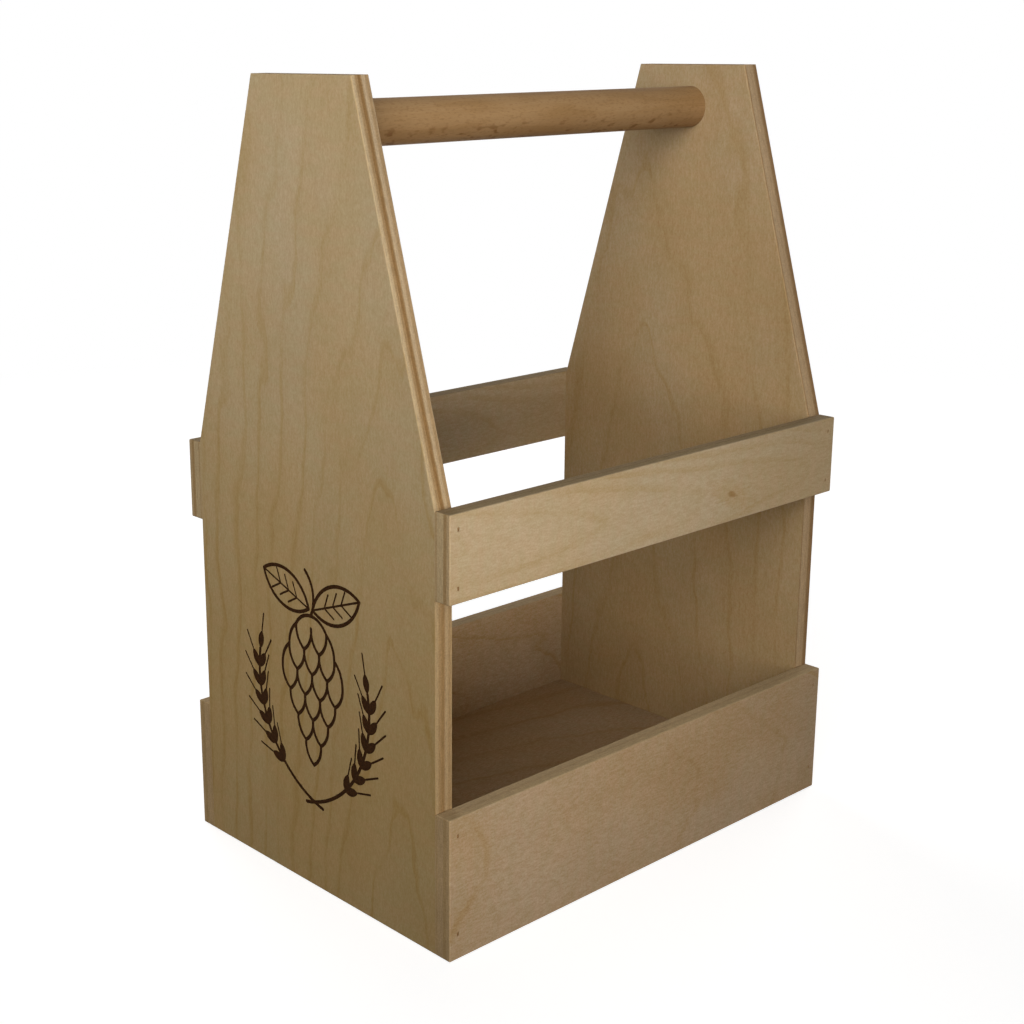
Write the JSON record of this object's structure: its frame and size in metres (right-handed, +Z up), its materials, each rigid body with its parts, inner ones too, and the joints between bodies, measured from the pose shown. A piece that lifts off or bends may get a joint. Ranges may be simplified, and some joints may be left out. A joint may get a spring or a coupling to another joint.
{
  "type": "bottle caddy",
  "caption": "Open plywood carrier for bottles: tapered end panels, slatted front and back, grooved-in base, round wooden handle and an engraved hop and barley motif.",
  "frame": {"origin": "centre of the footprint, on the surface that the caddy stands on", "axes": "+Z up, +X along the handle from the engraved end panel to the plain one, -Y towards the front"},
  "size_m": [0.206, 0.143, 0.29],
  "materials": {
    "plywood": "bare birch plywood, sanded, veneer grain on the faces and striped plies on the edges",
    "beech": "bare sanded beech dowel with fine flecks along the grain",
    "brads": "dull brown coated steel wire"
  },
  "bodies": {
    "root": {"end_panel_left": "plywood", "end_panel_right": "plywood", "base_board": "plywood", "upper_rail_front": "plywood", "upper_rail_back": "plywood", "lower_board_front": "plywood", "lower_board_back": "plywood", "handle_dowel": "beech", "upper_rail_front_brads_left": "brads", "upper_rail_front_brads_right": "brads", "upper_rail_back_brads_left": "brads", "upper_rail_back_brads_right": "brads", "lower_board_front_brads_left": "brads", "lower_board_front_brads_right": "brads", "lower_board_back_brads_left": "brads", "lower_board_back_brads_right": "brads"}
  },
  "joints": []
}
